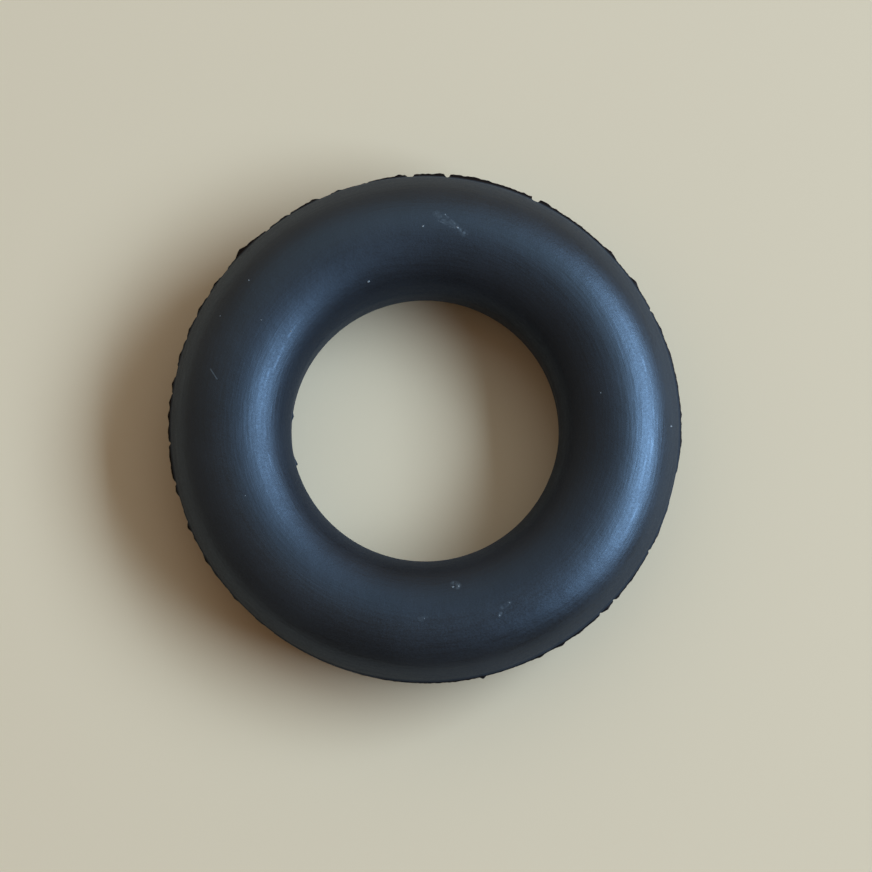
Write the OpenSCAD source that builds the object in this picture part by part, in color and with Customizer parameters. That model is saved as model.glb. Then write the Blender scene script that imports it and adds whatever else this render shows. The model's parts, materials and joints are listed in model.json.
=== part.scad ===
// Rubber grommet: one moulded ring with a plain hole, two rounded flanges and a groove between them.
// The groove snaps into a hole in a sheet, and a cable or a pipe passes through the ring.
// Millimetres, +Z along the hole, with the ring resting on Z = 0.

/* [Ring] */
// Diameter of the hole through the ring
bore_d = 10; // [6:0.5:12]
// Diameter of the groove's floor, which fills the hole in the sheet
panel_hole_d = 14; // [13:0.5:17]
// Diameter over the upper flange
rim_d = 19; // [18:0.5:26]
// Diameter over the lower flange, which stays a little behind the upper one
lower_rim_d = 18.8; // [17.8:0.1:26]
// Height from the resting face to the opposite crown
height = 4.7; // [3.6:0.1:8]

/* [Groove and bore] */
// Width of the groove between the flanges
groove_w = 1.2; // [0.6:0.1:2]
// Radius in the two corners of the groove's floor
groove_fillet = 0.2; // [0.05:0.05:0.25]
// Length of the straight wall in the middle of the hole
bore_land = 1.2; // [0.2:0.1:1.4]

/* [Mould flash] */
// Width that the torn flash stands out of the upper rim where it is fullest
flash_w = 0.15; // [0.04:0.01:0.3]
// Width of the even line of flash left on the lower rim
flash_line_w = 0.02; // [0.01:0.01:0.1]
// Thickness of the flash
flash_t = 0.06; // [0.04:0.01:0.1]
// Distance of the flash from the flange's groove-side corner
flash_lift = 0.04; // [0.02:0.01:0.1]
// Place round the rim, from +X, where the flash is fullest
flash_full_at = 75; // [0:5:355]

/* [Hidden] */

bore_r = bore_d / 2;
groove_r = panel_hole_d / 2;
rim_r = rim_d / 2;
lower_rim_r = lower_rim_d / 2;
mid_z = height / 2;

// Facets along a quarter of a flange's curve, along a groove fillet, round the ring and round the flash
curve_steps = 16;
fillet_steps = 4;
ring_facets = 180;
tear_steps = 360;

// The flash reaches this far into the flange, so that the two are one solid
flash_root = 0.3;
// Where the flash is torn off, its edge lies this far inside the rim
tear_depth = 0.05;
// Least share of the full width that the torn flash keeps on its thin side
thin_share = 0.35;
// Uneven edge: its mean share of the width, and a slow and a quick ripple, each with its waves round the rim
edge_mean = 0.8;
slow_ripple = 0.12;
slow_waves = 37;
quick_ripple = 0.08;
quick_waves = 83;

// Stretches of the upper rim with the flash torn away, from and to, in degrees from +X
torn_away = [
    [63, 66], [84, 86], [92, 95], [106, 110], [112, 115], [141, 145], [154, 155], [166, 169],
    [192, 196], [219, 225], [230, 232], [342, 350]
];
// Teeth of the flash: place in degrees, half width in degrees, height as a share of its full width
teeth = [
    [35, 3, 0.4], [44, 3, 0.4], [62, 2, 0.3], [97, 3, 0.2], [117, 3, 0.3], [136, 4, 0.8], [175, 3, 0.3],
    [188, 3, 0.3], [204, 3, 0.4], [283, 2, 0.6], [302, 3, 0.4], [309, 3, 0.3], [316, 2, 0.4]
];

// Outline of half of the section, from the middle of the hole over a flange's crown to the groove's floor.
// The crown stands halfway between the hole and the rim. Each side of the flange is a quarter ellipse,
// upright at the wall and level at the crown.
function half_section(rim) = let (crown_r = (bore_r + rim) / 2, side_w = rim - crown_r) concat(
    [for (i = [0 : curve_steps]) let (t = 90 * i / curve_steps)
        [crown_r - side_w * cos(t), bore_land / 2 + (mid_z - bore_land / 2) * sin(t)]],
    [for (i = [1 : curve_steps]) let (t = 90 - 90 * i / curve_steps)
        [crown_r + side_w * cos(t), groove_w / 2 + (mid_z - groove_w / 2) * sin(t)]],
    [for (i = [0 : fillet_steps]) let (t = 90 + 90 * i / fillet_steps)
        [groove_r + groove_fillet * (1 + cos(t)), groove_w / 2 - groove_fillet * (1 - sin(t))]]
);

// The same points below the middle, in reverse order
function mirrored(points) = [for (i = [len(points) - 1 : -1 : 0]) [points[i][0], -points[i][1]]];

// Share of the full flash width left at an angle, before teeth and tears
function fullness(a) = thin_share + (1 - thin_share) * (1 + cos(a - flash_full_at)) / 2;
function raggedness(a) = edge_mean + slow_ripple * sin(slow_waves * a) + quick_ripple * sin(quick_waves * a);
// How much one tooth adds at an angle
function tooth(a, one) = one[2] * max(0, 1 - abs(a - one[0]) / one[1]);
function all_teeth(a) = max([for (one = teeth) tooth(a, one)]);
function is_torn(a) = len([for (gap = torn_away) if (a > gap[0] && a < gap[1]) 1]) > 0;
// How far the torn flash stands out of the upper rim at an angle
function flash_reach(a) = is_torn(a) ? -tear_depth : flash_w * (fullness(a) * raggedness(a) + all_teeth(a));

module ring() {
    translate([0, 0, mid_z])
        rotate_extrude($fn = ring_facets)
            polygon(concat(half_section(rim_r), mirrored(half_section(lower_rim_r))));
}

// A thin fin standing out of a flange of a given radius, whose outline is given as a child
module fin(z, rim) {
    translate([0, 0, z])
        linear_extrude(flash_t)
            difference() {
                children();
                circle(r = rim - flash_root, $fn = ring_facets);
            }
}

// Flash round the upper rim, torn and toothed
module torn_flash() {
    fin(mid_z + groove_w / 2 + flash_lift, rim_r)
        polygon([for (i = [0 : tear_steps - 1])
            let (a = 360 * i / tear_steps) (rim_r + flash_reach(a)) * [cos(a), sin(a)]]);
}

// Even line of flash round the lower rim
module flash_line() {
    fin(mid_z - groove_w / 2 - flash_lift - flash_t, lower_rim_r)
        circle(r = lower_rim_r + flash_line_w, $fn = ring_facets);
}

module grommet() {
    color([0.09, 0.09, 0.1])
        union() {
            ring();
            torn_flash();
            flash_line();
        }
}

grommet();
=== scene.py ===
"""Rubber grommet: the looks of one moulded ring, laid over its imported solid, on a plain pale floor."""

import json
import math

import bpy
import bmesh
import numpy as np
from mathutils import Matrix, Vector, noise


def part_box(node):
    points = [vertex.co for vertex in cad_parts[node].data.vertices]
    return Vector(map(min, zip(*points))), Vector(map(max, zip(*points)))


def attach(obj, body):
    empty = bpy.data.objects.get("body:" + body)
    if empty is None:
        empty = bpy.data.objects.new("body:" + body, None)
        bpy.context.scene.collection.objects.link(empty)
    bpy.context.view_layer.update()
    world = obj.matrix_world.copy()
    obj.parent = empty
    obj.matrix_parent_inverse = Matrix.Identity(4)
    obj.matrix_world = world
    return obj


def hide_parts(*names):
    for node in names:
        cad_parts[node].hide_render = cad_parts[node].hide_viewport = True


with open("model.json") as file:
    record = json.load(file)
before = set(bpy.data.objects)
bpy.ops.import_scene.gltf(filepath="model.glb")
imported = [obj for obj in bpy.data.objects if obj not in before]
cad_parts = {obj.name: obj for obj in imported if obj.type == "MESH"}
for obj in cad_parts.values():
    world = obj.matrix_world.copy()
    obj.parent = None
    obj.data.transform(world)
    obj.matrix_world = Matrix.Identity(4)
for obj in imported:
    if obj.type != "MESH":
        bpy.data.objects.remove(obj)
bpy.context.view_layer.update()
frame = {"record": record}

bl_info = {
    "name": "Rubber Grommet",
    "version": (1, 0, 0),
    "blender": (4, 5, 0),
    "location": "View3D > Sidebar > Grommet",
    "description": "Moulded rubber grommet with torn flash, scuffs and dust, and a small studio",
    "category": "Add Mesh",
}

MM = 0.001
CAD_LOW, CAD_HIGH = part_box("grommet")
MOUNTS = {mount["name"]: mount for mount in frame["record"]["mounts"]}


def mount_size(mount, key):
    """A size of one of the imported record's mounts, in metres."""
    return MOUNTS[mount]["dims"][key] * MM


# ---------------------------------------------------------------- sizes and colours

def length(name, description, default):
    """A length in metres that the user can change."""
    return bpy.props.FloatProperty(
        name=name, description=description, default=default, min=0.0, precision=6, unit="LENGTH")


def angle(name, description, degrees):
    """An angle that the user can change."""
    return bpy.props.FloatProperty(
        name=name, description=description, default=math.radians(degrees), subtype="ANGLE")


def number(name, description, default):
    """A plain number that the user can change."""
    return bpy.props.FloatProperty(name=name, description=description, default=default, precision=4)


def count(name, description, default):
    """A whole number that the user can change."""
    return bpy.props.IntProperty(name=name, description=description, default=default, min=3)


def colour(name, description, default):
    """A colour, in linear light, that the user can change."""
    return bpy.props.FloatVectorProperty(
        name=name, description=description, default=default, size=3, min=0.0, max=1.0, subtype="COLOR")


class GrommetSizes(bpy.types.PropertyGroup):
    """Sizes of the ring and its flash."""

    bore_diameter: length("Bore", "Diameter of the hole through the ring", 2 * mount_size("bore", "r_mm"))
    bore_land: length("Bore land", "Straight wall in the middle of the hole", mount_size("bore", "length_mm"))
    groove_diameter: length("Groove floor", "Diameter of the groove's floor",
                            2 * mount_size("panel_groove", "r_mm"))
    groove_width: length("Groove width", "Width between the flanges", mount_size("panel_groove", "length_mm"))
    groove_fillet: length("Groove fillet", "Radius in the corners of the groove's floor", 0.2 * MM)
    rim_diameter: length("Rim", "Diameter over the upper flange, without flash", 19.0 * MM)
    lower_rim_diameter: length("Lower rim", "Diameter over the lower flange, without flash", 18.8 * MM)
    flash_width: length("Flash width", "How far the torn flash of the upper rim stands out where it is fullest",
                        0.15 * MM)
    flash_line: length("Lower flash", "How far the even flash of the lower rim stands out", 0.02 * MM)
    flash_thickness: length("Flash thickness", "Thickness of the flash at its root", 0.06 * MM)
    flash_lift: length("Flash lift", "Distance of the flash from the flange's corner", 0.04 * MM)
    flash_root: length("Flash root", "Height of the flared root above the flash", 0.28 * MM)
    columns: count("Columns", "Faces round the ring", 1200)
    curve_rows: count("Curve rows", "Rows of faces on each side of a flange", 12)


class GrommetFinish(bpy.types.PropertyGroup):
    """Colours and sheen of the rubber and the dust. The sheen tints hold painted window light and painted shade.
    """

    black: colour("Rubber", "Black of the rubber", (0.0055, 0.0043, 0.0045))
    bloom: colour("Bloom", "Slightly paler black in patches", (0.0084, 0.0071, 0.0077))
    scuff: colour("Scuff", "Colour of rubbed patches", (0.10, 0.115, 0.13))
    dust: colour("Dust", "Colour of the dust specks", (0.24, 0.26, 0.29))
    # Painted reflection colour: the blue of these two tints stands in for blue window light on rubber whose own
    # reflections are neutral. The weaker inner tint also paints shade on the side that faces the hole.
    outer_window_blue_tint: colour("Outer sheen", "Tint of the reflections on the side that faces out", (0.54, 0.73, 1.0))
    inner_blue_and_shade_tint: colour("Inner sheen", "Tint of the reflections on the side that faces the hole", (0.43, 0.58, 0.8))
    # Painted shade: this near-black tint dims the flash's reflections to copy the shade and dark reflection that
    # fall on it.
    flash_shade_tint: colour("Flash sheen", "Tint of the reflections on the thin flash", (0.08, 0.06, 0.06))
    refraction: number("Refraction", "Index of refraction of the rubber's skin", 1.48)
    rough_inner: number("Inner roughness", "Mean roughness of the side that faces the hole", 0.48)
    rough_outer: number("Outer roughness", "Mean roughness of the side that faces out", 0.43)
    rough_wall: number("Wall roughness", "Mean roughness of the steep walls at the hole and at the rim", 0.8)
    rough_flash: number("Flash roughness", "Mean roughness of the thin flash", 0.38)


class GrommetStage(bpy.types.PropertyGroup):
    """Floor, lamps, surroundings and camera."""

    floor_colour: colour("Floor", "Colour of the floor", (0.65, 0.505, 0.355))
    window_colour: colour("Window", "Colour of the window", (0.55, 0.78, 1.0))
    window_radiance: number("Window brightness", "Brightness of the window's face", 13.6)
    window_azimuth: angle("Window azimuth", "Direction of the window, from +X towards +Y", 4.8)
    window_elevation: angle("Window elevation", "Height of the window over the floor", 43.0)
    window_width: angle("Window width", "Angle that the window spans from side to side", 51.0)
    window_height: angle("Window height", "Angle that the window spans upright", 23.0)
    fill_colour: colour("Fill", "Colour of the fill lamp", (0.46, 0.84, 1.0))
    fill_radiance: number("Fill brightness", "Brightness of the fill lamp's face", 0.55)
    fill_azimuth: angle("Fill azimuth", "Direction of the fill lamp, from +X towards +Y", 59.0)
    fill_elevation: angle("Fill elevation", "Height of the fill lamp over the floor", 63.0)
    fill_width: angle("Fill width", "Angle that the fill lamp spans from side to side", 90.0)
    fill_height: angle("Fill height", "Angle that the fill lamp spans upright", 35.0)
    lamp_distance: length("Lamp distance", "Distance of the window and of the fill lamp from the ring", 0.5)
    room_colour: colour("Room", "Colour of the light from all round", (1.0, 0.77, 0.54))
    room_radiance: number("Room brightness", "Brightness of the room near the floor", 0.286)
    room_above: number("Room above", "Share of that brightness straight above", 1.18)
    room_side: bpy.props.FloatVectorProperty(
        name="Room side", description="Side on which the room is brighter, and by what share", size=3,
        default=(0.05, 0.73, 0.0), subtype="DIRECTION")
    camera_height: length("Camera height", "Distance of the camera above the ring", 0.25)
    camera_lean: angle("Camera lean", "Lean of the camera from the ring's axis towards -Y", 7.2)
    view_width: length("View width", "Width of the view at the ring", 32.60 * MM)
    aim: bpy.props.FloatVectorProperty(
        name="Aim", description="Point that the camera looks at, across the ring's middle", size=2, precision=6,
        default=(0.409 * MM, -0.217 * MM), subtype="XYZ", unit="LENGTH")


# ---------------------------------------------------------------- the moulded ring

# Mean reach of the flash round the upper rim: place in degrees from +X, and share of the full flash width
FULLNESS = (
    (0, 0.44), (14, 0.48), (25, 0.36), (40, 0.35), (50, 0.52), (62, 0.7), (72, 0.8), (80, 0.95), (90, 0.68),
    (100, 0.38), (105, 0.08), (110, 0.12), (117, 0.5), (127, 0.26), (133, 0.46), (140, 0.25), (160, 0.29),
    (176, 0.38), (190, 0.53), (198, 0.14), (225, 0.12), (250, 0.15), (265, 0.34), (275, 0.43), (290, 0.36),
    (304, 0.46), (320, 0.43), (334, 0.31), (346, 0.06), (354, 0.36), (360, 0.44),
)
# Stretches with the flash torn away, or nearly: from and to, in degrees from +X
TORN_AWAY = (
    (27.2, 28.2), (63.3, 65.4), (84.3, 85.7), (92.4, 94.4), (102.8, 103.8), (104.4, 106.0),
    (111.6, 115.0), (121.8, 122.6), (127.4, 129.0), (140.6, 143.6), (147.4, 149.2), (153.4, 154.2),
    (158.8, 159.8), (165.6, 168.6), (171.8, 172.6), (183.0, 184.0), (192.0, 193.2), (195.4, 199.2),
    (201.2, 202.0), (219.0, 220.4), (223.0, 228.6), (230.6, 234.0), (312.8, 313.6), (317.0, 317.8),
    (330.6, 331.6), (343.0, 350.0),
)
# Teeth of the flash: place, half width in degrees, and height as a share of the full flash width
TEETH = (
    (3.0, 1.0, 0.18), (17.0, 1.6, 0.14), (22.8, 1.2, 0.22), (35.0, 1.8, 0.5), (43.6, 2.2, 0.5), (52.0, 3.0, 0.1),
    (62.2, 1.4, 0.26), (86.8, 1.0, 0.24), (95.8, 0.9, 0.36), (110.0, 1.0, 0.3), (116.0, 1.0, 0.24),
    (124.0, 1.2, 0.12), (133.2, 1.4, 0.24), (136.0, 1.9, 0.84), (145.4, 1.0, 0.3), (152.0, 1.2, 0.26),
    (157.0, 1.2, 0.22), (163.4, 1.2, 0.2), (170.0, 1.2, 0.26), (174.2, 1.0, 0.34), (177.4, 1.2, 0.34),
    (181.0, 1.6, 0.12), (186.4, 1.4, 0.17), (190.2, 1.6, 0.12), (194.4, 0.8, 0.26), (203.0, 1.2, 0.54),
    (206.0, 0.8, 0.18), (211.4, 1.6, 0.4), (215.0, 1.8, 0.2), (222.0, 0.8, 0.24), (283.0, 0.7, 0.6),
    (296.4, 1.0, 0.3), (302.0, 0.9, 0.42), (307.0, 1.6, 0.26), (315.0, 1.2, 0.3), (318.8, 1.0, 0.24),
    (323.4, 1.6, 0.14), (335.0, 2.0, 0.12), (341.0, 1.0, 0.12), (357.0, 1.6, 0.14),
)
# Remnants of flash in the hole: place, degrees before and after it, and height
BORE_REMNANTS = ((174.0, 3.0, 3.0, 0.07 * MM), (195.2, 5.0, 0.4, 0.085 * MM), (150.0, 2.0, 2.0, 0.015 * MM))

# Uneven ripples round the ring: waves in a radian, seed, and strength. The strength is a share of the torn flash's
# reach for the first two, of the lower line's full width for the third, and of the flash's thickness for the curl.
SLOW_TEAR = (22, 3.1, 0.15)
QUICK_TEAR = (75, 8.7, 0.3)
LINE_RIPPLE = (30, 5.5, 0.3)
FLASH_CURL = (40, 1.7, 0.25)
# Mean width of the lower rim's line of flash, as a share of its full width
LINE_MEAN = 0.85
# Degrees over which the two sides of a tear slope
TEAR_SLOPE = 0.35
# Powers that shape the sides of a tooth and of a remnant
TOOTH_POWER, REMNANT_POWER = 0.8, 1.3
# Least reach of the flash, and of the parting line in the hole
STUB = 0.004 * MM
# Share of the flash's width that its flared root takes up
ROOT_SHARE = 0.5
# The face towards the groove starts this far inside the rim
LIP = 0.01 * MM
# Rows of faces in the flared root and in a corner of the groove's floor
ROOT_ROWS, CORNER_ROWS = 4, 3
# Edges that bend by more than this are sharp
SHARP_BEND = math.radians(50)


def ragged(degrees, ripple):
    """An uneven ripple's height at each angle round the ring, the same at 0 and 360 degrees."""
    pace, seed, strength = ripple
    around = np.radians(degrees)
    return strength * np.array([
        noise.noise(Vector((math.cos(a) * pace, math.sin(a) * pace, seed))) for a in around])


def flash_reach(degrees, sizes):
    """How far the torn flash stands out of the upper rim at each angle, in metres."""
    share = np.interp(degrees, *zip(*FULLNESS))
    share = share * (1 + ragged(degrees, SLOW_TEAR) + ragged(degrees, QUICK_TEAR))
    for place, half, height in TEETH:
        away = np.abs((degrees - place + 180) % 360 - 180)
        share = share + height * np.clip(1 - away / half, 0, 1) ** TOOTH_POWER
    for start, end in TORN_AWAY:
        inside = np.clip((degrees - start) / TEAR_SLOPE, 0, 1) * np.clip((end - degrees) / TEAR_SLOPE, 0, 1)
        share = share * (1 - inside)
    return np.maximum(share * sizes.flash_width, STUB)


def bore_reach(degrees):
    """How far the parting line and the remnants of flash stand into the hole at each angle, in metres."""
    reach = np.full_like(degrees, STUB)
    for place, before, after, height in BORE_REMNANTS:
        away = (degrees - place + 180) % 360 - 180
        rise = np.where(away < 0, 1 + away / before, 1 - away / after)
        reach = np.maximum(reach, height * np.clip(rise, 0, 1) ** REMNANT_POWER)
    return reach


def half_section(sizes, rim_r, fin):
    """Rows of half a section, from the hole over a crown to the groove.

    A row is its radius, its height over the middle, the name of the fin that its points move out with, or None,
    and the share by which they follow that fin.
    """
    bore_r, groove_r = sizes.bore_diameter / 2, sizes.groove_diameter / 2
    half_land, half_groove = sizes.bore_land / 2, sizes.groove_width / 2
    crown_r, crown_z = (bore_r + rim_r) / 2, (CAD_HIGH.z - CAD_LOW.z) / 2
    side, steps = rim_r - crown_r, sizes.curve_rows
    thick, lift, fillet = sizes.flash_thickness, sizes.flash_lift, sizes.groove_fillet

    def rim_point(z):
        """The flange's outer side at a height over the middle."""
        return crown_r + side * math.sqrt(1 - ((z - half_groove) / (crown_z - half_groove)) ** 2)

    fin_low, fin_high = half_groove + lift, half_groove + lift + thick
    root_high = fin_high + sizes.flash_root
    first = math.degrees(math.asin((root_high - half_groove) / (crown_z - half_groove)))
    inner = [90 * i / steps for i in range(steps + 1)]
    outer = [90 - (90 - first) * i / steps for i in range(1, steps + 1)]
    root = [90 * i / ROOT_ROWS for i in range(1, ROOT_ROWS + 1)]
    corner = [90 + 90 * i / CORNER_ROWS for i in range(CORNER_ROWS + 1)]

    # The second row keeps the smooth shading of a remnant off the plain wall beside it
    rows = [(bore_r, thick / 2, None, 0.0), (bore_r, thick * 3 / 2, None, 0.0)]
    rows += [(crown_r - side * math.cos(math.radians(t)),
              half_land + (crown_z - half_land) * math.sin(math.radians(t)), None, 0.0) for t in inner]
    rows += [(crown_r + side * math.cos(math.radians(t)),
              half_groove + (crown_z - half_groove) * math.sin(math.radians(t)), None, 0.0) for t in outer]
    start_r = rim_point(root_high)
    rows += [(start_r + (rim_r - start_r) * (1 - math.cos(math.radians(t))),
              root_high - sizes.flash_root * math.sin(math.radians(t)), fin,
              ROOT_SHARE * (1 - math.cos(math.radians(t)))) for t in root]
    rows += [(rim_r, (fin_high * 2 + fin_low) / 3, fin, 1.0),
             (rim_r, (fin_high + fin_low * 2) / 3, fin, 1.0),
             (rim_point(fin_low), fin_low, None, 0.0),
             (rim_r - LIP, half_groove, None, 0.0),
             ((rim_r + groove_r) / 2, half_groove, None, 0.0)]
    rows += [(groove_r + fillet * (1 + math.cos(math.radians(t))),
              half_groove - fillet * (1 - math.sin(math.radians(t))), None, 0.0) for t in corner]
    return rows


def ring_section(sizes):
    """Closed outline of the ring's section, starting in the middle of the hole and going up and out."""
    upper = half_section(sizes, sizes.rim_diameter / 2, "torn")
    lower = half_section(sizes, sizes.lower_rim_diameter / 2, "line")
    lower = [(radius, -height, fin, share) for radius, height, fin, share in reversed(lower)]
    bore_r, quarter = sizes.bore_diameter / 2, sizes.flash_thickness / 4
    return upper + lower + [(bore_r, -quarter, "remnant", 1.0), (bore_r, quarter, "remnant", 1.0)]


def ring_mesh(name, sizes):
    """The ring as one closed mesh, turned round +Z, with the flash as part of its section."""
    rows = ring_section(sizes)
    columns = sizes.columns
    degrees = np.arange(columns) * 360.0 / columns
    around = np.radians(degrees)
    reach = {
        "torn": flash_reach(degrees, sizes),
        "line": sizes.flash_line * (LINE_MEAN + ragged(degrees, LINE_RIPPLE)),
        "remnant": -bore_reach(degrees),
    }
    curl = sizes.flash_thickness * ragged(degrees, FLASH_CURL)
    middle = (CAD_HIGH.z + CAD_LOW.z) / 2
    points = np.empty((len(rows), columns, 3))
    for index, (radius, height, fin, share) in enumerate(rows):
        r = radius + share * reach.get(fin, 0.0) + np.zeros(columns)
        z = middle + height + (share * curl if fin == "torn" else 0.0) + np.zeros(columns)
        points[index] = np.stack([r * np.cos(around), r * np.sin(around), z], axis=1)
    faces = []
    for i in range(len(rows)):
        j = (i + 1) % len(rows)
        for k in range(columns):
            m = (k + 1) % columns
            faces.append((i * columns + k, i * columns + m, j * columns + m, j * columns + k))
    mesh = bpy.data.meshes.new(name)
    mesh.from_pydata(points.reshape(-1, 3).tolist(), [], faces)
    mesh.validate()
    mesh.shade_smooth()
    mesh.set_sharp_from_angle(angle=SHARP_BEND)
    return mesh


# ---------------------------------------------------------------- dust

# Specks on the upper flange: degrees from +X, share of the way from hole to rim, and size
SPECKS = (
    (111.5, 0.162, 0.11 * MM), (359.7, 0.922, 0.11 * MM), (80.6, 0.533, 0.10 * MM), (90.6, 0.522, 0.09 * MM),
    (84.5, 0.630, 0.045 * MM), (279.6, 0.266, 0.09 * MM), (281.6, 0.270, 0.08 * MM), (291.0, 0.599, 0.06 * MM),
    (140.7, 0.771, 0.07 * MM), (202.4, 0.487, 0.05 * MM), (9.7, 0.357, 0.05 * MM), (147.8, 0.486, 0.05 * MM),
    (152.1, 0.804, 0.05 * MM), (269.9, 0.512, 0.04 * MM), (294.9, 0.534, 0.05 * MM), (145.4, 0.233, 0.06 * MM),
)
# Length, width and thickness of a flake, as shares of its size
FLAKE = (1.0, 0.65, 0.35)
# Lumps on a flake: waves across it, their strength, and how far apart two flakes are in the noise
FLAKE_WAVES, FLAKE_LUMPS, FLAKE_SEED = 2.2, 0.5, 5.1
# Turn from one flake to the next, in radians
FLAKE_TURN = 1.3


def flange_point(degrees, share, sizes):
    """Point and normal of the upper flange, share of the way from the hole to the rim."""
    bore_r, rim_r = sizes.bore_diameter / 2, sizes.rim_diameter / 2
    crown_z = (CAD_HIGH.z - CAD_LOW.z) / 2
    base = (sizes.bore_land if share < 0.5 else sizes.groove_width) / 2
    crown_r = (bore_r + rim_r) / 2
    side = rim_r - crown_r
    across = bore_r + share * (rim_r - bore_r) - crown_r
    rise = crown_z - base
    up = rise * math.sqrt(1 - (across / side) ** 2)
    out = Vector((math.cos(math.radians(degrees)), math.sin(math.radians(degrees)), 0))
    point = out * (crown_r + across) + Vector((0, 0, CAD_LOW.z + crown_z + base + up))
    normal = (out * (across / side ** 2) + Vector((0, 0, up / rise ** 2))).normalized()
    return point, normal


def dust_mesh(name, sizes):
    """Small flat flakes of dust, each a closed lump set on the flange."""
    work = bmesh.new()
    flat = Matrix.Diagonal((*FLAKE, 1.0))
    for index, (degrees, share, size) in enumerate(SPECKS):
        point, normal = flange_point(degrees, share, sizes)
        turn = normal.to_track_quat("Z", "Y").to_matrix().to_4x4()
        spin = Matrix.Rotation(index * FLAKE_TURN, 4, "Z")
        made = bmesh.ops.create_icosphere(work, subdivisions=2, radius=size / 2)
        for vert in made["verts"]:
            lump = noise.noise(vert.co / size * FLAKE_WAVES + Vector((index * FLAKE_SEED, 0, 0)))
            vert.co *= 1 + FLAKE_LUMPS * lump
            vert.co = Matrix.Translation(point) @ turn @ spin @ flat @ vert.co
    mesh = bpy.data.meshes.new(name)
    work.to_mesh(mesh)
    work.free()
    mesh.shade_smooth()
    return mesh


# ---------------------------------------------------------------- materials

class Nodes:
    """Short ways to add and join a material's nodes."""

    def __init__(self, name):
        self.material = bpy.data.materials.new(name)
        self.material.use_nodes = True
        self.tree = self.material.node_tree
        self.shader = self.tree.nodes["Principled BSDF"]

    def add(self, kind, settings=None, **inputs):
        """A node of a kind, with its settings and its inputs, by name or as at_ and a place."""
        node = self.tree.nodes.new("ShaderNode" + kind)
        for key, value in (settings or {}).items():
            setattr(node, key, value)
        for key, value in inputs.items():
            self.feed(node, int(key[3:]) if key.startswith("at_") else key.replace("_", " "), value)
        return node

    def feed(self, node, name, value):
        """Give a node's input, by its name or its place, a value, or join another node's socket to it."""
        socket = node.inputs[name]
        if isinstance(value, bpy.types.NodeSocket):
            self.tree.links.new(value, socket)
        else:
            socket.default_value = value

    def math(self, operation, first, second=0.0, clamp=False):
        """The result of one sum on one or two values."""
        node = self.add("Math", {"operation": operation, "use_clamp": clamp}, at_0=first, at_1=second)
        return node.outputs[0]

    def blend(self, share, first, second):
        """A colour between two, by a share."""
        return self.add("Mix", {"data_type": "RGBA"}, at_0=share, at_6=first, at_7=second).outputs[2]

    def mix(self, share, first, second):
        """A number between two, by a share."""
        return self.add("Mix", {"data_type": "FLOAT"}, at_0=share, at_2=first, at_3=second).outputs[0]

    def grain(self, place, scale, detail=2.0, rough=0.5):
        """Fine noise from 0 to 1 in the object's own space. scale is in waves a metre."""
        node = self.add("TexNoise", None, Vector=place, Scale=scale, Detail=detail, Roughness=rough)
        return node.outputs["Fac"]

    def ramp(self, value, low, high, to_low=0.0, to_high=1.0):
        """A value stretched from one span to another and held inside it."""
        node = self.add("MapRange", {"clamp": True}, Value=value)
        for key, limit in (("From Min", low), ("From Max", high), ("To Min", to_low), ("To Max", to_high)):
            node.inputs[key].default_value = limit
        return node.outputs["Result"]


def opaque(rgb):
    """A colour with full alpha."""
    return (*rgb, 1.0)


# Rubbed pale marks on the upper flange, each along a line: the places of its two ends in degrees and share from
# hole to rim, its half width, and its strength
RUBS = (
    ((86.9, 0.631), (78.1, 0.495), 0.13 * MM, 0.24), ((86.2, 0.573), (82.0, 0.527), 0.03 * MM, 0.4),
    ((84.5, 0.630), (79.4, 0.520), 0.035 * MM, 0.45), ((80.4, 0.530), (77.6, 0.490), 0.05 * MM, 0.55),
    ((280.2, 0.245), (281.2, 0.262), 0.13 * MM, 0.6), ((292.4, 0.548), (294.9, 0.534), 0.07 * MM, 0.25),
    ((291.0, 0.600), (291.6, 0.585), 0.06 * MM, 0.35), ((270.4, 0.510), (268.6, 0.515), 0.09 * MM, 0.2),
)
# A thin scratch, in the same way
SCRATCH = ((165.8, 0.715), (168.1, 0.640), 0.022 * MM, 0.5)
# Polished hairlines along the turn: from and to in degrees, and share from hole to rim
POLISHED = (
    (1.0, 6.5, 0.775), (6.0, 12.5, 0.782), (12.0, 18.0, 0.762), (350.0, 357.0, 0.768), (331.0, 340.0, 0.772),
    (138.0, 149.0, 0.228), (147.0, 162.0, 0.216), (160.0, 168.0, 0.245), (172.0, 186.0, 0.208),
    (190.0, 199.0, 0.2),
)
# A mark fades out between these two shares of its half width
MARK_FADE = (1.3, 0.4)
# Half width of a hairline, the share of it that is full, and the share of its length that is full
HAIRLINE = 0.055 * MM
HAIRLINE_CORE, HAIRLINE_LENGTH = 0.3, 0.5

# Grain, in waves a metre, with its detail and its roughness: of the skin, the mould, the bloom and the rubs
FINE = (13000.0, 2.0, 0.6)
COARSE = (1500.0, 3.0, 0.5)
PATCHES = (260.0, 3.0, 0.5)
RUB_GRAIN = (7000.0, 2.0, 0.6)
# Mould streaks: waves round the ring in a radian, waves across the section in a metre, detail and roughness
STREAK_TURN, STREAK_PACE, STREAK_DETAIL, STREAK_EDGE = 5.0, 9000.0, 2.0, 0.55
# Spans of the grains over which the bloom, the rubs and the polish come in
BLOOM_SPAN, RUB_SPAN, POLISH_SPAN = (0.4, 0.65), (0.38, 0.62), (0.35, 0.6)
# Radius over which the side that faces the hole goes over into the side that faces out
OUTWARD_SPAN = (6.9 * MM, 7.6 * MM)
# Height over and under the middle between which a flange's side goes over into the steep wall
STEEP_SPAN = (1.75 * MM, 0.95 * MM)
# Distance outside the rim, as a share of the flash's width, over which the flange goes over into the flash
THIN_SPAN = (0.05, 0.2)
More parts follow.
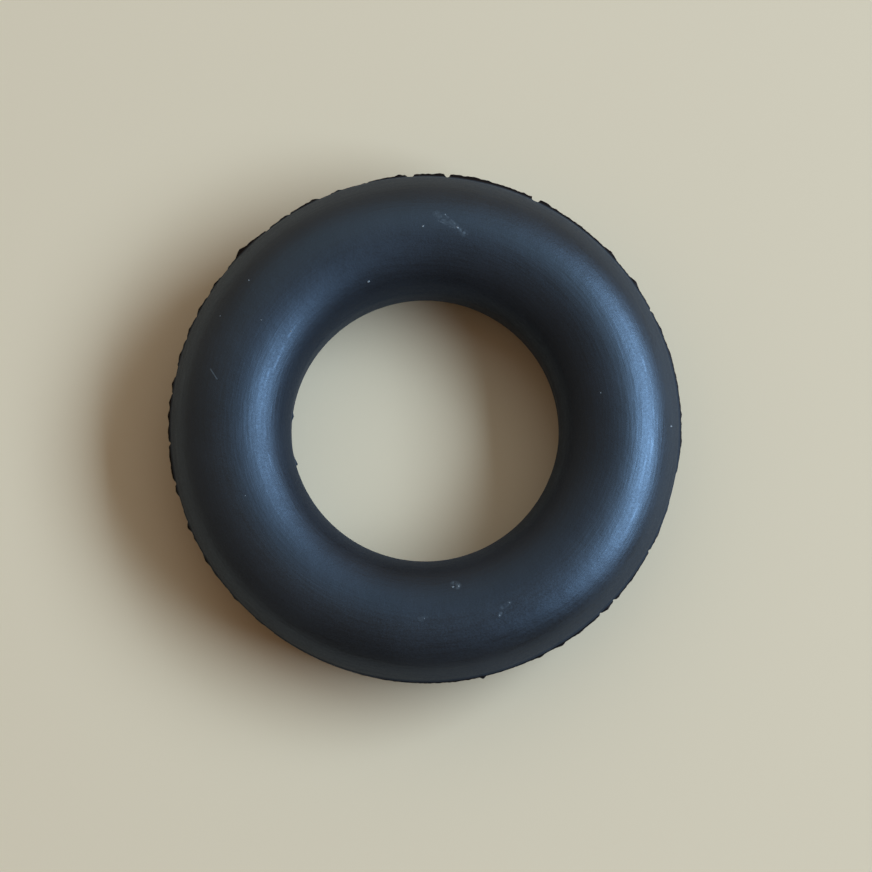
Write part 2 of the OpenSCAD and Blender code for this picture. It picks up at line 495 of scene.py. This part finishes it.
# Changes of roughness: by the grain and the patches either way, and in a streak, a hairline and a rub
GRAIN_ROUGH, PATCH_ROUGH, STREAK_ROUGH, POLISH_ROUGH, RUB_ROUGH = 0.05, 0.03, -0.06, -0.11, 0.2
# Spans of the noise that count as its low and its high, and of the streaks that are smoother
GRAIN_SPAN, STREAK_SPAN = (0.3, 0.7), (0.5, 0.75)
# Strength of the skin's reflections, where 0.5 is what its refraction alone gives
SKIN_SHEEN = 1.0
# Strength and depth of the bumps
FINE_BUMP = (0.5, 0.006 * MM)
STREAK_BUMP = (0.5, 0.013 * MM)
COARSE_BUMP = (0.6, 0.02 * MM)


def rubber_material(finish, sizes):
    """Satin black rubber: fine matte grain, mould streaks round the ring, faint bloom, scuffs and a scratch."""
    nodes = Nodes("black_moulded_rubber")
    place = nodes.add("TexCoord").outputs["Object"]
    apart = nodes.add("SeparateXYZ", None, Vector=place)
    flat = nodes.add("CombineXYZ", None, X=apart.outputs["X"], Y=apart.outputs["Y"])
    radius = nodes.add("VectorMath", {"operation": "LENGTH"}, Vector=flat.outputs[0]).outputs["Value"]
    facing = nodes.add("VectorMath", {"operation": "NORMALIZE"}, Vector=flat.outputs[0]).outputs["Vector"]

    # Streaks run round the ring: slow along the turn, quick across the section
    turn = nodes.add("VectorMath", {"operation": "SCALE"}, Vector=facing, Scale=STREAK_TURN).outputs["Vector"]
    across = nodes.add("CombineXYZ", None, Z=nodes.math("MULTIPLY", radius, STREAK_PACE)).outputs[0]
    streak_place = nodes.add("VectorMath", {"operation": "ADD"}, at_0=turn, at_1=across).outputs["Vector"]
    streak_node = nodes.add("TexNoise", {"noise_dimensions": "4D"}, Vector=streak_place,
                            W=nodes.math("MULTIPLY", apart.outputs["Z"], STREAK_PACE),
                            Scale=1.0, Detail=STREAK_DETAIL, Roughness=STREAK_EDGE)
    streaks = streak_node.outputs["Fac"]

    fine = nodes.grain(place, *FINE)
    coarse = nodes.grain(place, *COARSE)
    patches = nodes.grain(place, *PATCHES)

    # The marks are on the upper flange only
    middle = (CAD_HIGH.z + CAD_LOW.z) / 2
    upper = nodes.ramp(apart.outputs["Z"], middle, middle + sizes.groove_width / 2)
    rubs = 0.0
    for mark in RUBS:
        rubs = nodes.math("MAXIMUM", rubs, line_mask(nodes, flat.outputs[0], mark, sizes))
    rubs = nodes.math("MULTIPLY", rubs, nodes.ramp(nodes.grain(place, *RUB_GRAIN), *RUB_SPAN))
    rubs = nodes.math("MAXIMUM", rubs, line_mask(nodes, flat.outputs[0], SCRATCH, sizes))
    rubs = nodes.math("MULTIPLY", rubs, upper)
    polish = 0.0
    for mark in POLISHED:
        polish = nodes.math("MAXIMUM", polish, turn_mask(nodes, radius, facing, mark, sizes))
    polish = nodes.math("MULTIPLY", polish, nodes.ramp(coarse, *POLISH_SPAN))
    polish = nodes.math("MULTIPLY", polish, upper)

    tone = nodes.blend(nodes.ramp(patches, *BLOOM_SPAN), opaque(finish.black), opaque(finish.bloom))
    tone = nodes.blend(rubs, tone, opaque(finish.scuff))
    nodes.feed(nodes.shader, "Base Color", tone)

    outward = nodes.ramp(radius, *OUTWARD_SPAN)
    height = nodes.math("ABSOLUTE", nodes.math("SUBTRACT", apart.outputs["Z"], middle))
    steep = nodes.ramp(height, *STEEP_SPAN)
    mean = nodes.mix(outward, finish.rough_inner, finish.rough_outer)
    thin = nodes.ramp(radius, *(sizes.rim_diameter / 2 + share * sizes.flash_width for share in THIN_SPAN))
    rough = nodes.mix(thin, nodes.mix(steep, mean, finish.rough_wall), finish.rough_flash)
    for part in (nodes.ramp(fine, *GRAIN_SPAN, -GRAIN_ROUGH, GRAIN_ROUGH),
                 nodes.ramp(patches, *GRAIN_SPAN, -PATCH_ROUGH, PATCH_ROUGH),
                 nodes.ramp(streaks, *STREAK_SPAN, 0.0, STREAK_ROUGH),
                 nodes.math("MULTIPLY", polish, POLISH_ROUGH),
                 nodes.math("MULTIPLY", rubs, RUB_ROUGH)):
        rough = nodes.math("ADD", rough, part, clamp=True)
    nodes.feed(nodes.shader, "Roughness", rough)
    # Painted light: reflections are tinted blue like the window's light, and are weaker on the side that faces the
    # hole, as painted shade.
    sheen = nodes.blend(outward, opaque(finish.inner_blue_and_shade_tint), opaque(finish.outer_window_blue_tint))
    # Painted shade: past the rim, the flash's reflections are dimmed by a near-black tint.
    nodes.feed(nodes.shader, "Specular Tint", nodes.blend(thin, sheen, opaque(finish.flash_shade_tint)))
    nodes.shader.inputs["Specular IOR Level"].default_value = SKIN_SHEEN
    nodes.shader.inputs["IOR"].default_value = finish.refraction

    under = {}
    for grain, (strength, depth) in ((fine, FINE_BUMP), (streaks, STREAK_BUMP), (coarse, COARSE_BUMP)):
        bump = nodes.add("Bump", None, Strength=strength, Distance=depth, Height=grain, **under)
        under = {"Normal": bump.outputs["Normal"]}
    nodes.feed(nodes.shader, "Normal", under["Normal"])
    return nodes.material


def line_mask(nodes, flat, mark, sizes):
    """A mark's strength along the straight line between its ends, seen from above, and zero elsewhere."""
    first, last, half, strength = mark
    start, end = (flange_point(*one, sizes)[0] for one in (first, last))
    start.z = end.z = 0.0
    along = end - start
    offset = nodes.add("VectorMath", {"operation": "SUBTRACT"}, at_0=flat, at_1=start).outputs["Vector"]
    dot = nodes.add("VectorMath", {"operation": "DOT_PRODUCT"}, at_0=offset, at_1=along / along.length_squared)
    held = nodes.math("MULTIPLY", dot.outputs["Value"], 1.0, clamp=True)
    nearest = nodes.add("VectorMath", {"operation": "SCALE"}, at_0=along, Scale=held).outputs["Vector"]
    away = nodes.add("VectorMath", {"operation": "DISTANCE"}, at_0=offset, at_1=nearest).outputs["Value"]
    return nodes.ramp(away, *(share * half for share in MARK_FADE), 0.0, strength)


def turn_mask(nodes, radius, facing, mark, sizes):
    """One on a hairline that runs along the turn between two angles, and zero elsewhere."""
    start, end, share = mark
    bore_r, rim_r = sizes.bore_diameter / 2, sizes.rim_diameter / 2
    middle, half = math.radians((start + end) / 2), math.radians((end - start) / 2)
    away = nodes.math("ABSOLUTE", nodes.math("SUBTRACT", radius, bore_r + share * (rim_r - bore_r)))
    toward = nodes.add("VectorMath", {"operation": "DOT_PRODUCT"}, at_0=facing,
                       at_1=(math.cos(middle), math.sin(middle), 0.0)).outputs["Value"]
    inside = nodes.ramp(toward, math.cos(half), math.cos(HAIRLINE_LENGTH * half))
    return nodes.math("MULTIPLY", inside, nodes.ramp(away, HAIRLINE, HAIRLINE_CORE * HAIRLINE))


# Waves a metre of the speckle in the dust and of the faint cloud in the floor
DUST_GRAIN, FLOOR_GRAIN = 20000.0, 30.0
# Darkest grey of the dust and palest cloud of the floor, as shares of their colours
DUST_DARK, FLOOR_PALE = 0.6, 1.02
DUST_ROUGH, FLOOR_ROUGH = 0.9, 0.38


def dust_material(finish):
    """Pale dry dust."""
    nodes = Nodes("pale_dust")
    place = nodes.add("TexCoord").outputs["Object"]
    speckle = nodes.grain(place, DUST_GRAIN)
    grey = tuple(DUST_DARK * part for part in finish.dust)
    nodes.feed(nodes.shader, "Base Color", nodes.blend(speckle, opaque(grey), opaque(finish.dust)))
    nodes.shader.inputs["Roughness"].default_value = DUST_ROUGH
    return nodes.material


def floor_material(stage):
    """Plain pale floor with a soft gloss and a barely visible cloud."""
    nodes = Nodes("pale_floor")
    place = nodes.add("TexCoord").outputs["Object"]
    cloud = nodes.grain(place, FLOOR_GRAIN)
    paler = tuple(min(1.0, FLOOR_PALE * part) for part in stage.floor_colour)
    nodes.feed(nodes.shader, "Base Color", nodes.blend(cloud, opaque(stage.floor_colour), opaque(paler)))
    nodes.shader.inputs["Roughness"].default_value = FLOOR_ROUGH
    return nodes.material


# ---------------------------------------------------------------- pieces and stage

def add_object(name, data):
    """A new object in the scene."""
    made = bpy.data.objects.new(name, data)
    bpy.context.scene.collection.objects.link(made)
    return made


def add_piece(name, mesh, material):
    """A piece of the grommet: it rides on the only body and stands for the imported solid."""
    mesh.materials.append(material)
    piece = add_object(name, mesh)
    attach(piece, "root")
    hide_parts("grommet")
    return piece


# Half the side of the floor, in metres
FLOOR_HALF = 0.9
# Upward part of a direction at which the room's light starts to go over into that from straight above
ROOM_RISE = 0.35
# Nearest and furthest distance that the camera sees, in metres
CLIP = (0.001, 10.0)


def add_floor(stage):
    """A wide plain floor in the plane that the ring rests on."""
    corners = [(x * FLOOR_HALF, y * FLOOR_HALF) for x, y in ((-1, -1), (1, -1), (1, 1), (-1, 1))]
    mesh = bpy.data.meshes.new("floor")
    mesh.from_pydata([(x, y, CAD_LOW.z) for x, y in corners], [], [(0, 1, 2, 3)])
    mesh.materials.append(floor_material(stage))
    floor = add_object("floor", mesh)


def add_lamp(name, colour, radiance, distance, azimuth, elevation, width, height):
    """A large soft rectangular lamp that faces the ring. Width and height are the angles it spans."""
    lamp = bpy.data.lights.new(name, "AREA")
    lamp.shape = "RECTANGLE"
    lamp.size = 2 * distance * math.tan(width / 2)
    lamp.size_y = 2 * distance * math.tan(height / 2)
    lamp.color = colour
    lamp.energy = radiance * math.pi * lamp.size * lamp.size_y
    out = Vector((
        math.cos(elevation) * math.cos(azimuth), math.cos(elevation) * math.sin(azimuth), math.sin(elevation)))
    made = add_object(name, lamp)
    made.location = out * distance
    made.rotation_mode = "QUATERNION"
    made.rotation_quaternion = out.to_track_quat("Z", "Y")
    made.visible_camera = False


def add_lamps(stage):
    """A window towards +X, halfway up, and a dim wide lamp that stands higher, between +X and +Y."""
    add_lamp("window", stage.window_colour, stage.window_radiance, stage.lamp_distance,
             stage.window_azimuth, stage.window_elevation, stage.window_width, stage.window_height)
    add_lamp("fill", stage.fill_colour, stage.fill_radiance, stage.lamp_distance,
             stage.fill_azimuth, stage.fill_elevation, stage.fill_width, stage.fill_height)


def add_room(stage):
    """Dim warm light from all round, stronger from above and from one side, and a pale background."""
    world = bpy.data.worlds.new("room")
    bpy.context.scene.world = world
    world.use_nodes = True
    tree = world.node_tree
    room = tree.nodes["Background"]
    room.inputs["Color"].default_value = opaque(stage.room_colour)
    toward = tree.nodes.new("ShaderNodeTexCoord")
    apart = tree.nodes.new("ShaderNodeSeparateXYZ")
    dim = tree.nodes.new("ShaderNodeMapRange")
    for key, value in (("From Min", ROOM_RISE), ("From Max", 1.0), ("To Min", stage.room_radiance),
                       ("To Max", stage.room_radiance * stage.room_above)):
        dim.inputs[key].default_value = value
    side = tree.nodes.new("ShaderNodeVectorMath")
    side.operation = "DOT_PRODUCT"
    side.inputs[1].default_value = stage.room_side
    strength = tree.nodes.new("ShaderNodeMath")
    strength.operation = "MULTIPLY_ADD"
    tree.links.new(toward.outputs["Generated"], apart.inputs[0])
    tree.links.new(toward.outputs["Generated"], side.inputs[0])
    tree.links.new(apart.outputs["Z"], dim.inputs["Value"])
    tree.links.new(side.outputs["Value"], strength.inputs[0])
    tree.links.new(dim.outputs["Result"], strength.inputs[1])
    tree.links.new(dim.outputs["Result"], strength.inputs[2])
    tree.links.new(strength.outputs[0], room.inputs["Strength"])
    backdrop = tree.nodes.new("ShaderNodeBackground")
    backdrop.inputs["Color"].default_value = opaque(stage.floor_colour)
    backdrop.inputs["Strength"].default_value = 1.0
    path = tree.nodes.new("ShaderNodeLightPath")
    choice = tree.nodes.new("ShaderNodeMixShader")
    tree.links.new(path.outputs["Is Camera Ray"], choice.inputs[0])
    tree.links.new(room.outputs[0], choice.inputs[1])
    tree.links.new(backdrop.outputs[0], choice.inputs[2])
    tree.links.new(choice.outputs[0], tree.nodes["World Output"].inputs["Surface"])


def add_camera(stage):
    """A camera above the ring that leans a little towards -Y, with a long lens."""
    data = bpy.data.cameras.new("overhead")
    data.lens = data.sensor_width * stage.camera_height / stage.view_width
    camera = add_object("overhead", data)
    target = Vector((stage.aim[0], stage.aim[1], (CAD_LOW.z + CAD_HIGH.z) / 2))
    back = Vector((0.0, -math.sin(stage.camera_lean), math.cos(stage.camera_lean)))
    camera.location = target + back * stage.camera_height
    camera.rotation_euler = (stage.camera_lean, 0.0, 0.0)
    data.clip_start, data.clip_end = CLIP
    bpy.context.scene.camera = camera


# ---------------------------------------------------------------- operators and panel

class GROMMET_OT_ring(bpy.types.Operator):
    """Mould the ring with its groove, its torn flash and the remnants in its hole"""

    bl_idname = "grommet.ring"
    bl_label = "Add Ring"

    def execute(self, context):
        sizes, finish = context.scene.grommet_sizes, context.scene.grommet_finish
        add_piece("grommet_ring", ring_mesh("grommet_ring", sizes), rubber_material(finish, sizes))
        return {"FINISHED"}


class GROMMET_OT_dust(bpy.types.Operator):
    """Scatter the specks of dust on the upper flange"""

    bl_idname = "grommet.dust"
    bl_label = "Add Dust"

    def execute(self, context):
        sizes, finish = context.scene.grommet_sizes, context.scene.grommet_finish
        add_piece("dust_specks", dust_mesh("dust_specks", sizes), dust_material(finish))
        return {"FINISHED"}


class GROMMET_OT_stage(bpy.types.Operator):
    """Set up the floor, the lamps, the room light and the camera"""

    bl_idname = "grommet.stage"
    bl_label = "Add Stage"

    def execute(self, context):
        stage = context.scene.grommet_stage
        context.scene.view_settings.view_transform = "Standard"
        add_floor(stage)
        add_lamps(stage)
        add_room(stage)
        add_camera(stage)
        return {"FINISHED"}


class GROMMET_PT_panel(bpy.types.Panel):
    """Sizes, finish and stage of the grommet"""

    bl_idname = "GROMMET_PT_panel"
    bl_label = "Rubber Grommet"
    bl_space_type = "VIEW_3D"
    bl_region_type = "UI"
    bl_category = "Grommet"

    def draw(self, context):
        for group in (context.scene.grommet_sizes, context.scene.grommet_finish, context.scene.grommet_stage):
            box = self.layout.box()
            for name in group.__annotations__:
                box.prop(group, name)
        for operator in (GROMMET_OT_ring, GROMMET_OT_dust, GROMMET_OT_stage):
            self.layout.operator(operator.bl_idname)


CLASSES = (
    GrommetSizes, GrommetFinish, GrommetStage,
    GROMMET_OT_ring, GROMMET_OT_dust, GROMMET_OT_stage, GROMMET_PT_panel,
)


def register():
    """Register the classes and hang the groups of settings on the scene."""
    for one in CLASSES:
        bpy.utils.register_class(one)
    bpy.types.Scene.grommet_sizes = bpy.props.PointerProperty(type=GrommetSizes)
    bpy.types.Scene.grommet_finish = bpy.props.PointerProperty(type=GrommetFinish)
    bpy.types.Scene.grommet_stage = bpy.props.PointerProperty(type=GrommetStage)


def unregister():
    """Take the settings and the classes away again."""
    del bpy.types.Scene.grommet_stage
    del bpy.types.Scene.grommet_finish
    del bpy.types.Scene.grommet_sizes
    for one in reversed(CLASSES):
        bpy.utils.unregister_class(one)


def main():
    """Build every piece in order."""
    register()
    bpy.ops.grommet.ring()
    bpy.ops.grommet.dust()
    bpy.ops.grommet.stage()


if __name__ == "__main__":
    main()
